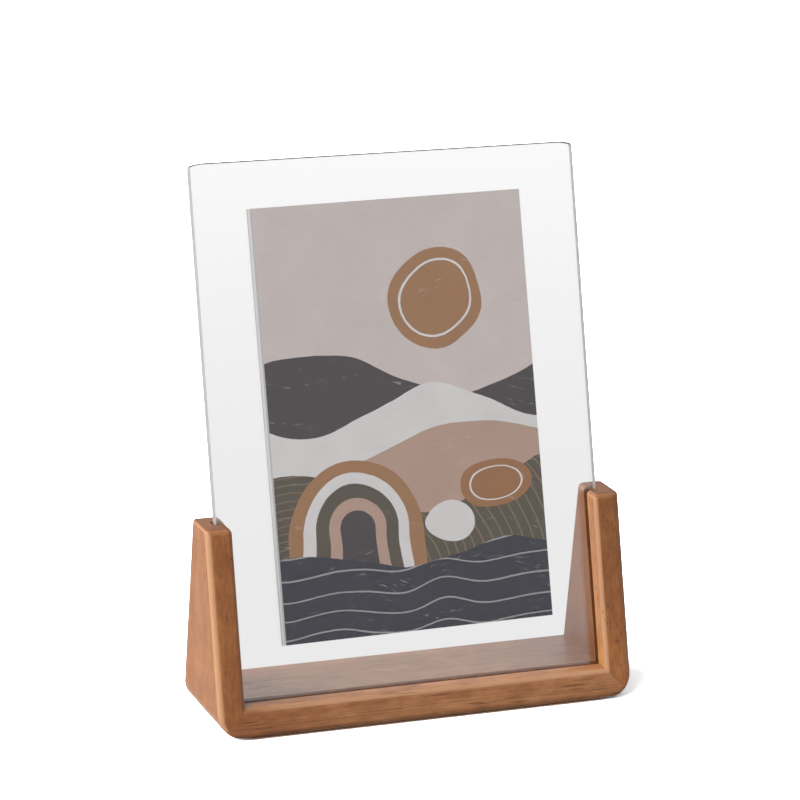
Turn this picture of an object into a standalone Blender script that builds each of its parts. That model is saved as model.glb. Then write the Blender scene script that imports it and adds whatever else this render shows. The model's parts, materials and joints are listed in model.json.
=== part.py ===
"""Tabletop picture frame: two glass sheets that lean back in a mitred wooden stand.

Units are metres, +Z is up and the print faces -Y. The stand is a U of three boards, a base rail
and two uprights, mitred at the lower corners and pinned by hidden dowels. One leaning groove
runs through all three boards. It holds two glass sheets with a print between them, and the
sheets lift out along it. The stand rests on four felt pads, whose undersides lie at z = 0.
"""

import math

import bmesh
import bpy
from mathutils import Matrix

# Stand, measured on the bare boards
STAND_WIDTH = 0.1542
UPRIGHT_HEIGHT = 0.0706
BOARD_THICKNESS = 0.0099
FOOT_DEPTH = 0.0465
TOP_DEPTH = 0.0168
FRONT_SLOPE = math.radians(13.8)
CORNER_RADIUS = 0.0084
EDGE_ROUNDING = 0.0028
INNER_ROUNDING = 0.002
END_ROUNDING = 0.001
UNDERSIDE_ROUNDING = 0.001

# Groove that holds the sheets, its setback measured at the foot from the front face
GLASS_LEAN = math.radians(14.0)
GROOVE_SETBACK = 0.0088
RAIL_GROOVE_DEPTH = 0.004
UPRIGHT_GROOVE_DEPTH = 0.005

# Sheets and print
SHEET_HEIGHT = 0.1905
SHEET_THICKNESS = 0.0015
SHEET_EASE_RADIUS = 0.016
SHEET_TOP_TURN = 18.0
SHEET_SIDE_TURN = 8.0
SHEET_TIP_RADIUS = 0.0006
SHEET_EDGE_CHAMFER = 0.0002
PRINT_WIDTH = 0.1016
PRINT_HEIGHT = 0.1524
PRINT_THICKNESS = 0.00025
PRINT_RAISE = 0.0027
PRINT_TILT = math.radians(0.5)

# Dowels across the mitres
DOWEL_RADIUS = 0.0015
DOWEL_LENGTH = 0.008
DOWEL_CHAMFER = 0.0003
DOWEL_HEIGHT = 0.0055
DOWELS_PER_CORNER = 2
DOWEL_PITCH = 0.017
DOWEL_SETBACK = 0.0095

# Felt pads under the base rail
PAD_RADIUS = 0.004
PAD_THICKNESS = 0.0007
PAD_END_INSET = 0.0135
PAD_EDGE_INSET = 0.0075

# Clearances
MITRE_GAP = 0.0001
GLUE_LINE = 0.0001
DOWEL_CLEARANCE = 0.0002
DOWEL_END_CLEARANCE = 0.0003
SHEET_SEAT_CLEARANCE = 0.0003
SHEET_FACE_CLEARANCE = 0.0003
SHEET_SIDE_CLEARANCE = 0.0009
PRINT_CLEARANCE = 0.0001

# Facets
CORNER_STEPS = 8
SHEET_EASE_STEPS = 3
SHEET_TIP_STEPS = 4
ROUNDING_SEGMENTS = 3
DOWEL_SIDES = 20
PAD_SIDES = 32
SHARP_ANGLE = math.radians(30.0)
FLAT_ANGLE = math.radians(0.1)
WELD_DISTANCE = 0.000001
CUTTER_MARGIN = 0.002

# Sizes that follow
UNDERSIDE = PAD_THICKNESS + GLUE_LINE
HALF_WIDTH = STAND_WIDTH / 2
INNER_HALF_WIDTH = HALF_WIDTH - BOARD_THICKNESS
GROOVE_HALF_WIDTH = INNER_HALF_WIDTH + UPRIGHT_GROOVE_DEPTH
SHEET_WIDTH = 2 * (GROOVE_HALF_WIDTH - SHEET_SIDE_CLEARANCE)
PACK_THICKNESS = 2 * SHEET_THICKNESS + PRINT_THICKNESS + 2 * PRINT_CLEARANCE
GROOVE_WIDTH = PACK_THICKNESS + 2 * SHEET_FACE_CLEARANCE
SHEET_OFFSET = (PACK_THICKNESS - SHEET_THICKNESS) / 2

# Heights measured along the leaning groove, from the underside of the boards
GROOVE_FLOOR = BOARD_THICKNESS / math.cos(GLASS_LEAN) - RAIL_GROOVE_DEPTH
SHEET_FOOT = GROOVE_FLOOR + SHEET_SEAT_CLEARANCE
SHEET_TOP = SHEET_FOOT + SHEET_HEIGHT

# The foot's front edge, placed so that the whole object is centred on y = 0
SHEET_REACH = SHEET_TOP * math.sin(GLASS_LEAN) + PACK_THICKNESS / 2 * math.cos(GLASS_LEAN)
OBJECT_DEPTH = max(GROOVE_SETBACK + SHEET_REACH, FOOT_DEPTH)
FOOT_FRONT = -OBJECT_DEPTH / 2
GROOVE_FOOT = FOOT_FRONT + GROOVE_SETBACK


def clear_scene():
    """Remove every object from the scene."""
    for item in list(bpy.data.objects):
        bpy.data.objects.remove(item, do_unlink=True)


def new_collection(name):
    """Return a new collection linked under the scene."""
    collection = bpy.data.collections.new(name)
    bpy.context.scene.collection.children.link(collection)
    return collection


def new_material(name, colour, roughness, transmission=0.0, ior=1.5):
    """Return a material with one Principled BSDF."""
    material = bpy.data.materials.new(name)
    material.use_nodes = True
    shader = material.node_tree.nodes["Principled BSDF"]
    shader.inputs["Base Color"].default_value = (*colour, 1.0)
    shader.inputs["Roughness"].default_value = roughness
    shader.inputs["Metallic"].default_value = 0.0
    shader.inputs["Transmission Weight"].default_value = transmission
    shader.inputs["IOR"].default_value = ior
    material.diffuse_color = (*colour, 1.0)
    return material


def add_object(name, mesh, collection, material=None):
    """Link a mesh as a new object."""
    item = bpy.data.objects.new(name, mesh)
    collection.objects.link(item)
    if material:
        mesh.materials.append(material)
    return item


def mark_cutter(item):
    """Show an object as a wire cutter that is never rendered."""
    item.hide_render = True
    item.display_type = "WIRE"
    return item


def tidy_mesh(mesh):
    """Weld the loose caps of an outline and join its flat triangles into whole faces."""
    work = bmesh.new()
    work.from_mesh(mesh)
    bmesh.ops.remove_doubles(work, verts=work.verts, dist=WELD_DISTANCE)
    bmesh.ops.dissolve_limit(work, angle_limit=FLAT_ANGLE, verts=work.verts, edges=work.edges)
    bmesh.ops.recalc_face_normals(work, faces=work.faces)
    work.to_mesh(mesh)
    work.free()


def plate_mesh(name, outline, thickness):
    """Return a plate cut to a flat outline in its own XY plane, centred on z = 0."""
    curve = bpy.data.curves.new(name, "CURVE")
    curve.dimensions = "2D"
    curve.fill_mode = "BOTH"
    curve.extrude = thickness / 2
    spline = curve.splines.new("POLY")
    spline.points.add(len(outline) - 1)
    for point, (across, along) in zip(spline.points, outline):
        point.co = (across, along, 0.0, 1.0)
    spline.use_cyclic_u = True
    source = bpy.data.objects.new(name, curve)
    bpy.context.scene.collection.objects.link(source)
    graph = bpy.context.evaluated_depsgraph_get()
    mesh = bpy.data.meshes.new_from_object(source.evaluated_get(graph))
    mesh.name = name
    bpy.data.objects.remove(source, do_unlink=True)
    tidy_mesh(mesh)
    return mesh


def arc(centre, radius, start, end, steps):
    """Return the points of an arc, both ends included, with its angles in degrees."""
    angles = [math.radians(start + (end - start) * step / steps) for step in range(steps + 1)]
    return [(centre[0] + radius * math.cos(angle), centre[1] + radius * math.sin(angle)) for angle in angles]


def sheet_corner():
    """Return a sheet's top right corner, measured from its sharp point: a small arc between two wide ones."""
    top_turn = math.radians(SHEET_TOP_TURN)
    side_turn = math.radians(SHEET_SIDE_TURN)
    radius_step = SHEET_EASE_RADIUS - SHEET_TIP_RADIUS
    inset = SHEET_EASE_RADIUS - radius_step * math.cos(side_turn)
    drop = SHEET_EASE_RADIUS - radius_step * math.cos(top_turn)
    top_middle = (-inset - radius_step * math.sin(top_turn), -SHEET_EASE_RADIUS)
    side_middle = (-SHEET_EASE_RADIUS, -drop - radius_step * math.sin(side_turn))
    top = arc(top_middle, SHEET_EASE_RADIUS, 90, 90 - SHEET_TOP_TURN, SHEET_EASE_STEPS)
    tip = arc((-inset, -drop), SHEET_TIP_RADIUS, 90 - SHEET_TOP_TURN, SHEET_SIDE_TURN, SHEET_TIP_STEPS)
    side = arc(side_middle, SHEET_EASE_RADIUS, SHEET_SIDE_TURN, 0, SHEET_EASE_STEPS)
    return top[:-1] + tip[:-1] + side


def sheet_outline():
    """Return a sheet's outline with its eased corners. It stands on y = 0, centred on x = 0."""
    half = SHEET_WIDTH / 2
    corner = sheet_corner()
    top = [(half + across, SHEET_HEIGHT + along) for across, along in corner]
    foot = [(half + across, -along) for across, along in reversed(corner)]
    right = top + foot
    return right + [(-across, along) for across, along in reversed(right)]


def stand_up(mesh):
    """Turn a flat plate upright, so that its outline lies in the XZ plane."""
    mesh.transform(Matrix.Rotation(math.radians(90), 4, "X"))


def front_face(height):
    """Return y on the sloping front face at a height above the underside."""
    return FOOT_FRONT + height * math.tan(FRONT_SLOPE)


def rear_face(height):
    """Return y on the sloping rear face at a height above the underside."""
    top_rear = front_face(UPRIGHT_HEIGHT) + TOP_DEPTH
    foot_rear = FOOT_FRONT + FOOT_DEPTH
    return foot_rear + (top_rear - foot_rear) * height / UPRIGHT_HEIGHT


def stand_outline():
    """Return the U that the three boards make together, seen from the front."""
    left_corner = arc((-HALF_WIDTH + CORNER_RADIUS, CORNER_RADIUS), CORNER_RADIUS, 180, 270, CORNER_STEPS)
    right_corner = arc((HALF_WIDTH - CORNER_RADIUS, CORNER_RADIUS), CORNER_RADIUS, 270, 360, CORNER_STEPS)
    right_top = [(HALF_WIDTH, UPRIGHT_HEIGHT), (INNER_HALF_WIDTH, UPRIGHT_HEIGHT)]
    inside = [(INNER_HALF_WIDTH, BOARD_THICKNESS), (-INNER_HALF_WIDTH, BOARD_THICKNESS)]
    left_top = [(-INNER_HALF_WIDTH, UPRIGHT_HEIGHT), (-HALF_WIDTH, UPRIGHT_HEIGHT)]
    return left_corner + right_corner + right_top + inside + left_top


def rounding_radius(edge):
    """Return the radius that rounds an edge: full outside the U, less inside it, least at its ends and foot."""
    if len(edge.link_faces) != 2 or edge.calc_face_angle_signed() < SHARP_ANGLE:
        return 0.0
    middle = (edge.verts[0].co + edge.verts[1].co) / 2
    if middle.z > UPRIGHT_HEIGHT - WELD_DISTANCE:
        outer = abs(middle.x) > HALF_WIDTH - WELD_DISTANCE
        rear = middle.y > rear_face(UPRIGHT_HEIGHT) - WELD_DISTANCE
        return END_ROUNDING if outer or rear else INNER_ROUNDING
    if abs(middle.x) < INNER_HALF_WIDTH + WELD_DISTANCE and middle.z > BOARD_THICKNESS - WELD_DISTANCE:
        return INNER_ROUNDING
    share = min(middle.z / CORNER_RADIUS, 1.0)
    return UNDERSIDE_ROUNDING + (EDGE_ROUNDING - UNDERSIDE_ROUNDING) * share


def stand_blank():
    """Return the whole U with its sloping faces, its outer edges weighted for rounding."""
    mesh = plate_mesh("stand_blank", stand_outline(), FOOT_DEPTH)
    stand_up(mesh)
    work = bmesh.new()
    work.from_mesh(mesh)
    for corner in work.verts:
        slope = front_face if corner.co.y < 0 else rear_face
        corner.co.y = slope(corner.co.z)
    weights = work.edges.layers.float.new("bevel_weight_edge")
    for edge in work.edges:
        edge[weights] = rounding_radius(edge) / EDGE_ROUNDING
    work.to_mesh(mesh)
    work.free()
    mesh.transform(Matrix.Translation((0.0, 0.0, UNDERSIDE)))
    return mesh


def groove_frame(distance, behind=0.0):
    """Return the place and turn of a point in the leaning groove.

    The distance runs up the groove from the underside of the boards, and behind is square to it.
    """
    lean = Matrix.Rotation(-GLASS_LEAN, 4, "X")
    foot = Matrix.Translation((0.0, GROOVE_FOOT, UNDERSIDE))
    return foot @ lean @ Matrix.Translation((0.0, behind, distance))


def groove_cutter(collection):
    """Return the leaning slab that cuts the groove through all three boards."""
    height = (UPRIGHT_HEIGHT + CUTTER_MARGIN) / math.cos(GLASS_LEAN) - GROOVE_FLOOR + GROOVE_WIDTH
    work = bmesh.new()
    size = Matrix.Diagonal((2 * GROOVE_HALF_WIDTH, GROOVE_WIDTH, height, 1.0))
    bmesh.ops.create_cube(work, size=1.0, matrix=Matrix.Translation((0.0, 0.0, height / 2)) @ size)
    mesh = bpy.data.meshes.new("groove_cutter")
    work.to_mesh(mesh)
    work.free()
    cutter = add_object("groove_cutter", mesh, collection)
    cutter.matrix_world = groove_frame(GROOVE_FLOOR)
    return mark_cutter(cutter)


def board_cutter(name, outline, collection):
    """Return the prism that keeps one board of the U."""
    mesh = plate_mesh(name, outline, 2 * (OBJECT_DEPTH + CUTTER_MARGIN))
    stand_up(mesh)
    mesh.transform(Matrix.Translation((0.0, 0.0, UNDERSIDE)))
    return mark_cutter(add_object(name, mesh, collection))


def rail_region():
    """Return the outline that keeps the rail, between the two mitres."""
    foot = HALF_WIDTH + CUTTER_MARGIN - MITRE_GAP * math.sqrt(2)
    top = foot - BOARD_THICKNESS - 2 * CUTTER_MARGIN
    return [(-foot, -CUTTER_MARGIN), (foot, -CUTTER_MARGIN),
            (top, BOARD_THICKNESS + CUTTER_MARGIN), (-top, BOARD_THICKNESS + CUTTER_MARGIN)]


def upright_region(side):
    """Return the outline that keeps the upright at one side, -1 for left and 1 for right."""
    outer = side * (HALF_WIDTH + CUTTER_MARGIN)
    inner = side * (INNER_HALF_WIDTH - CUTTER_MARGIN)
    top = UPRIGHT_HEIGHT + CUTTER_MARGIN
    return [(outer, -CUTTER_MARGIN), (inner, BOARD_THICKNESS + CUTTER_MARGIN), (inner, top), (outer, top)]


def cylinder_mesh(name, radius, length, sides):
    """Return a cylinder along Z, centred on its middle."""
    work = bmesh.new()
    bmesh.ops.create_cone(work, cap_ends=True, segments=sides, radius1=radius, radius2=radius, depth=length)
    mesh = bpy.data.meshes.new(name)
    work.to_mesh(mesh)
    work.free()
    mesh.shade_smooth()
    mesh.set_sharp_from_angle(angle=SHARP_ANGLE)
    return mesh


def dowel_places():
    """Return the name and the matrix of each dowel, square to its mitre."""
    places = []
    for side, side_name in ((-1, "left"), (1, "right")):
        for number in range(DOWELS_PER_CORNER):
            across = side * (HALF_WIDTH - DOWEL_HEIGHT)
            behind = GROOVE_FOOT + DOWEL_SETBACK + number * DOWEL_PITCH
            place = Matrix.Translation((across, behind, UNDERSIDE + DOWEL_HEIGHT))
            turn = Matrix.Rotation(math.radians(45) * side, 4, "Y")
            places.append((f"{side_name}_dowel_{number + 1}", place @ turn))
    return places


def add_boolean(item, cutter, operation):
    """Add one exact Boolean modifier."""
    modifier = item.modifiers.new(f"{operation.lower()}_{cutter.name}", "BOOLEAN")
    modifier.operation = operation
    modifier.solver = "EXACT"
    modifier.object = cutter


def add_rounding(item, width, segments, by_weight):
    """Round or chamfer the edges of an object."""
    modifier = item.modifiers.new("rounding", "BEVEL")
    modifier.width = width
    modifier.segments = segments
    modifier.limit_method = "WEIGHT" if by_weight else "ANGLE"
    modifier.angle_limit = SHARP_ANGLE


def make_stand(parts, cutters, wood, dowel_wood):
    """Make the rail, the uprights and the dowels that pin them."""
    groove = groove_cutter(cutters)
    holes = []
    hole_length = DOWEL_LENGTH + 2 * DOWEL_END_CLEARANCE
    for name, place in dowel_places():
        hole_mesh = cylinder_mesh(f"{name}_hole", DOWEL_RADIUS + DOWEL_CLEARANCE, hole_length, DOWEL_SIDES)
        hole = mark_cutter(add_object(f"{name}_hole", hole_mesh, cutters))
        hole.matrix_world = place
        holes.append(hole)
        dowel_mesh = cylinder_mesh(name, DOWEL_RADIUS, DOWEL_LENGTH, DOWEL_SIDES)
        dowel = add_object(name, dowel_mesh, parts, dowel_wood)
        dowel.matrix_world = place
        add_rounding(dowel, DOWEL_CHAMFER, 1, by_weight=False)
    boards = (
        ("base_rail", rail_region(), holes),
        ("left_upright", upright_region(-1), holes[:DOWELS_PER_CORNER]),
        ("right_upright", upright_region(1), holes[DOWELS_PER_CORNER:]),
    )
    for name, region, board_holes in boards:
        blank = stand_blank()
        blank.name = name
        blank.shade_smooth()
        blank.set_sharp_from_angle(angle=SHARP_ANGLE)
        board = add_object(name, blank, parts, wood)
        add_rounding(board, EDGE_ROUNDING, ROUNDING_SEGMENTS, by_weight=True)
        add_boolean(board, groove, "DIFFERENCE")
        add_boolean(board, board_cutter(f"{name}_region", region, cutters), "INTERSECT")
        for hole in board_holes:
            add_boolean(board, hole, "DIFFERENCE")


def make_pads(parts, felt):
    """Make the four felt pads under the rail's corners."""
    across = HALF_WIDTH - PAD_END_INSET
    rows = (("front", FOOT_FRONT + PAD_EDGE_INSET), ("rear", FOOT_FRONT + FOOT_DEPTH - PAD_EDGE_INSET))
    for row_name, row in rows:
        for side, side_name in ((-1, "left"), (1, "right")):
            name = f"{row_name}_{side_name}_pad"
            pad = add_object(name, cylinder_mesh(name, PAD_RADIUS, PAD_THICKNESS, PAD_SIDES), parts, felt)
            pad.location = (side * across, row, PAD_THICKNESS / 2)


def make_sheets(parts, glass):
    """Make the two glass sheets, each on an empty that stands on its own sliding line."""
    for name, behind in (("front_glass", -SHEET_OFFSET), ("rear_glass", SHEET_OFFSET)):
        slide = bpy.data.objects.new(f"{name}_slide", None)
        parts.objects.link(slide)
        slide.matrix_world = groove_frame(SHEET_FOOT, behind)
        mesh = plate_mesh(name, sheet_outline(), SHEET_THICKNESS)
        stand_up(mesh)
        sheet = add_object(name, mesh, parts, glass)
        sheet.parent = slide
        add_rounding(sheet, SHEET_EDGE_CHAMFER, 1, by_weight=False)


def make_print(parts, paper):
    """Make the paper print between the sheets, turned a little in their plane."""
    half_width = PRINT_WIDTH / 2
    half_height = PRINT_HEIGHT / 2
    outline = [(-half_width, -half_height), (half_width, -half_height),
               (half_width, half_height), (-half_width, half_height)]
    mesh = plate_mesh("print", outline, PRINT_THICKNESS)
    stand_up(mesh)
    sheet = add_object("print", mesh, parts, paper)
    middle = SHEET_FOOT + SHEET_HEIGHT / 2 + PRINT_RAISE
    sheet.matrix_world = groove_frame(middle) @ Matrix.Rotation(-PRINT_TILT, 4, "Y")


def build():
    """Build the whole picture frame."""
    clear_scene()
    parts = new_collection("glass_picture_frame")
    cutters = new_collection("cutters")
    wood = new_material("stand_wood", (0.40, 0.19, 0.09), 0.5)
    dowel_wood = new_material("dowel_wood", (0.62, 0.45, 0.28), 0.6)
    felt = new_material("pad_felt", (0.10, 0.09, 0.08), 0.95)
    glass = new_material("clear_glass", (0.93, 0.96, 0.95), 0.02, transmission=1.0)
    paper = new_material("print_paper", (0.62, 0.53, 0.49), 0.6)
    make_stand(parts, cutters, wood, dowel_wood)
    make_pads(parts, felt)
    make_sheets(parts, glass)
    make_print(parts, paper)


build()
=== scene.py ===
"""The looks of a tabletop picture frame: two glass sheets that lean in a mitred wooden stand.

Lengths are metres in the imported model's frame, with +Z up and the print facing -Y. Patterns in the
materials are laid out in millimetres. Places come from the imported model, and the sizes that it does
not give are fields of the class that uses them.
"""

import json
import logging
import math
from collections.abc import Iterator
from contextlib import contextmanager
from dataclasses import dataclass, field
from enum import Enum

import bmesh
import bpy
from mathutils import Matrix, Vector


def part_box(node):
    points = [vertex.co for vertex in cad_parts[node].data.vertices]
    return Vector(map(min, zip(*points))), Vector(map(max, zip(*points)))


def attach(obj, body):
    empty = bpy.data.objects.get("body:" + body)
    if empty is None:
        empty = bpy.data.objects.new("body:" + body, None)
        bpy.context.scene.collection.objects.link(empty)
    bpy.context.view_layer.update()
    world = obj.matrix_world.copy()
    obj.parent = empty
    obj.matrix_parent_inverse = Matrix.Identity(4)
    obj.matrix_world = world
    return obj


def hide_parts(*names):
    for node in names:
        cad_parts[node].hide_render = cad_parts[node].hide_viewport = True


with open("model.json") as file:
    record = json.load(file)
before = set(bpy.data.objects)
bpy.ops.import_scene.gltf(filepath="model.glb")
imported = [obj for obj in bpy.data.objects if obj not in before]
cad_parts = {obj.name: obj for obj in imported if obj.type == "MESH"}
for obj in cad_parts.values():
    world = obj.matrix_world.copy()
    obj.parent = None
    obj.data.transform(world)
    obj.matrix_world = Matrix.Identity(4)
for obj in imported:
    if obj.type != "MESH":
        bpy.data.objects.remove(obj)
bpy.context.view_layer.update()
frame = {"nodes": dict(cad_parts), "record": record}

LOG = logging.getLogger("picture_frame")
Socket = bpy.types.NodeSocket
Pair = tuple[float, float]
Triple = tuple[float, float, float]
Colour = Triple
Grain = tuple[float, float, float, float]  # a noise's share of its length, scale, detail and roughness
Inputs = dict[int | str, object]

MILLIMETRES = 1000.0
WELD_DISTANCE = 0.000001
FLAT_ANGLE = math.radians(0.1)
SMOOTH_ANGLE = math.radians(30.0)
FLAT_SHARE = 0.999
MITRE_TOLERANCE = 0.01
PAINT_EDGE = 0.09
FULL_TURN = 2 * math.pi


def paint(red: float, green: float, blue: float) -> Colour:
    """Return a linear colour for a shader from one that a screen shows, from 0 to 255."""
    shares = [channel / 255 for channel in (red, green, blue)]
    return tuple(s / 12.92 if s <= 0.04045 else ((s + 0.055) / 1.055) ** 2.4 for s in shares)


def grey(level: float) -> Colour:
    """Return a linear grey of a level, where 1 is white."""
    return (level,) * 3


WHITE = grey(1.0)


class Value:
    """What a node gives, open to plain arithmetic."""

    def __init__(self, graph: "Graph", socket: Socket) -> None:
        """Keep the socket and the graph that it belongs to."""
        self.graph = graph
        self.socket = socket

    def __add__(self, other: object) -> "Value":
        """Return the sum."""
        return self.graph.maths("ADD", self, other)

    def __sub__(self, other: object) -> "Value":
        """Return the difference."""
        return self.graph.maths("SUBTRACT", self, other)

    def __mul__(self, other: object) -> "Value":
        """Return the product."""
        return self.graph.maths("MULTIPLY", self, other)

    def __truediv__(self, other: object) -> "Value":
        """Return the quotient."""
        return self.graph.maths("DIVIDE", self, other)

    def __abs__(self) -> "Value":
        """Return the amount without its sign."""
        return self.graph.maths("ABSOLUTE", self)

    def sine(self) -> "Value":
        """Return the sine of an angle in radians."""
        return self.graph.maths("SINE", self)

    def parts(self) -> list["Value"]:
        """Return the three lengths of a vector."""
        split = self.graph.node("ShaderNodeSeparateXYZ", {0: self})
        return [Value(self.graph, part) for part in split.outputs]

    def length(self) -> "Value":
        """Return the length of a vector."""
        return self.graph.out("ShaderNodeVectorMath", {0: self}, "Value", operation="LENGTH")

    def ease(self, start: float, end: float, low: object = 0.0, high: object = 1.0) -> "Value":
        """Return a smooth step from low to high as the value goes from start to end."""
        names = {"Value": self, "From Min": start, "From Max": end, "To Min": low, "To Max": high}
        return self.graph.out("ShaderNodeMapRange", names, "Result", interpolation_type="SMOOTHSTEP")

    def under(self, limit: object) -> "Value":
        """Return 1 where the value is under a limit, with the crisp soft edge of paint."""
        return (self - limit).ease(-PAINT_EDGE, PAINT_EDGE, 1.0, 0.0)


class Graph:
    """Short calls that add and join the nodes of one tree."""

    def __init__(self, tree: bpy.types.NodeTree) -> None:
        """Start from an empty tree."""
        self.tree = tree
        self.tree.nodes.clear()

    def feed(self, socket: Socket, value: object) -> None:
        """Link an input, or set its own value.

        Args:
            socket: The input.
            value: A node's value or socket to link, or a plain value. A plain colour has no alpha.
        """
        if isinstance(value, Value):
            value = value.socket
        if isinstance(value, bpy.types.NodeSocket):
            self.tree.links.new(value, socket)
        else:
            socket.default_value = (*value, 1.0) if socket.type == "RGBA" else value

    def node(self, kind: str, inputs: Inputs | None = None, **settings: object) -> bpy.types.Node:
        """Add a node.

        Args:
            kind: The node's type.
            inputs: What to feed its inputs with, by name or number.
            **settings: Its properties.

        Returns:
            The node.
        """
        made = self.tree.nodes.new(kind)
        for name, value in settings.items():
            setattr(made, name, value)
        for name, value in (inputs or {}).items():
            self.feed(made.inputs[name], value)
        return made

    def out(self, kind: str, inputs: Inputs | None = None, output: int | str = 0,
            **settings: object) -> Value:
        """Add a node and return one of its outputs."""
        return Value(self, self.node(kind, inputs, **settings).outputs[output])

    def maths(self, operation: str, *values: object) -> Value:
        """Return the result of one arithmetic step."""
        return self.out("ShaderNodeMath", dict(enumerate(values)), operation=operation)

    def vector(self, *lengths: object) -> Value:
        """Return a vector made of three lengths."""
        return self.out("ShaderNodeCombineXYZ", dict(enumerate(lengths)))

    def place(self) -> Value:
        """Return the place in the object's own axes, in metres."""
        return self.out("ShaderNodeTexCoord", output="Object")

    def normal(self) -> Value:
        """Return the way that the surface faces."""
        return self.out("ShaderNodeNewGeometry", output="Normal")

    def blend(self, share: object, first: object, second: object, mode: str = "MIX") -> Value:
        """Return a colour that goes from the first to the second as the share goes from 0 to 1."""
        inputs = {0: share, 6: first, 7: second}
        return self.out("ShaderNodeMix", inputs, 2, data_type="RGBA", blend_type=mode)

    def times(self, colour: object, tint: object) -> Value:
        """Return a colour multiplied by a tint or a level."""
        return self.blend(1.0, colour, tint, "MULTIPLY")

    def noise(self, vector: Value, scale: float, detail: float = 2.0, roughness: float = 0.5) -> Value:
        """Return soft noise around 0.5."""
        names = {"Vector": vector, "Scale": scale, "Detail": detail, "Roughness": roughness}
        return self.out("ShaderNodeTexNoise", names)

    def bump(self, height: Value, distance: float, strength: float = 1.0) -> Value:
        """Return a normal that follows a height, whose unit is the distance in metres."""
        return self.out("ShaderNodeBump", {"Height": height, "Distance": distance, "Strength": strength})

    def mix(self, share: object, first: Value, second: Value) -> Value:
        """Return a shader that goes from the first to the second as the share goes from 0 to 1."""
        return self.out("ShaderNodeMixShader", {0: share, 1: first, 2: second})

    def surface(self, shader: Value) -> None:
        """End the tree in one surface shader."""
        self.node("ShaderNodeOutputMaterial", {"Surface": shader})

    def principled(self, inputs: Inputs) -> None:
        """End the tree in one principled shader."""
        self.surface(self.out("ShaderNodeBsdfPrincipled", inputs))


class Finish:
    """A finish that draws itself as a material. Each finish has a name and draws its own nodes."""

    def draw(self, graph: Graph) -> None:
        """Draw the finish in an empty tree."""
        raise NotImplementedError

    def material(self) -> bpy.types.Material:
        """Make a material of the finish.

        Returns:
            The material.
        """
        material = bpy.data.materials.new(self.name)
        material.use_nodes = True
        self.draw(Graph(material.node_tree))
        return material


class GrainRun(Enum):
    """The world axis that a board's grain follows."""

    ALONG_X = "x"
    ALONG_Z = "z"


class Spot:
    """A spot on a board: its place in millimetres, the way it faces and its place in the grain."""

    def __init__(self, graph: Graph, run: GrainRun, offset: Triple) -> None:
        """Lay out the nodes that the spot's values come from.

        Args:
            graph: The tree of the board's material.
            run: The axis that the grain follows.
            offset: How far the board was cut from the middle of the tree's own grain.
        """
        self.graph = graph
        places = [length * MILLIMETRES for length in graph.place().parts()]
        self.x, self.y, self.z = places
        self.normal = graph.normal()
        self.right, self.back, self.up = self.normal.parts()
        level = run is GrainRun.ALONG_X
        self.along, self.end = (self.x, abs(self.right)) if level else (self.z, abs(self.up))
        grain = [length + shift for length, shift in zip(places, offset)]
        self.grain = grain if level else grain[::-1]

    def noise(self, stretch: float, scale: float, detail: float, roughness: float) -> Value:
        """Return noise around 0.5 that is drawn out along the grain."""
        along, first, second = self.grain
        return self.graph.noise(self.graph.vector(along * stretch, first, second), scale, detail, roughness)


@dataclass(frozen=True)
class Drift:
    """A slow change of tint along a board, from one tint to another. Some are painted light and shade."""

    tint: Colour = WHITE
    start: float = 0.0
    end: float = 1.0
    rest: Colour = WHITE

    def over(self, spot: Spot) -> Value:
        """Return the tint at a spot on the board."""
        return spot.graph.blend(spot.along.ease(self.start, self.end), self.tint, self.rest)


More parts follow.
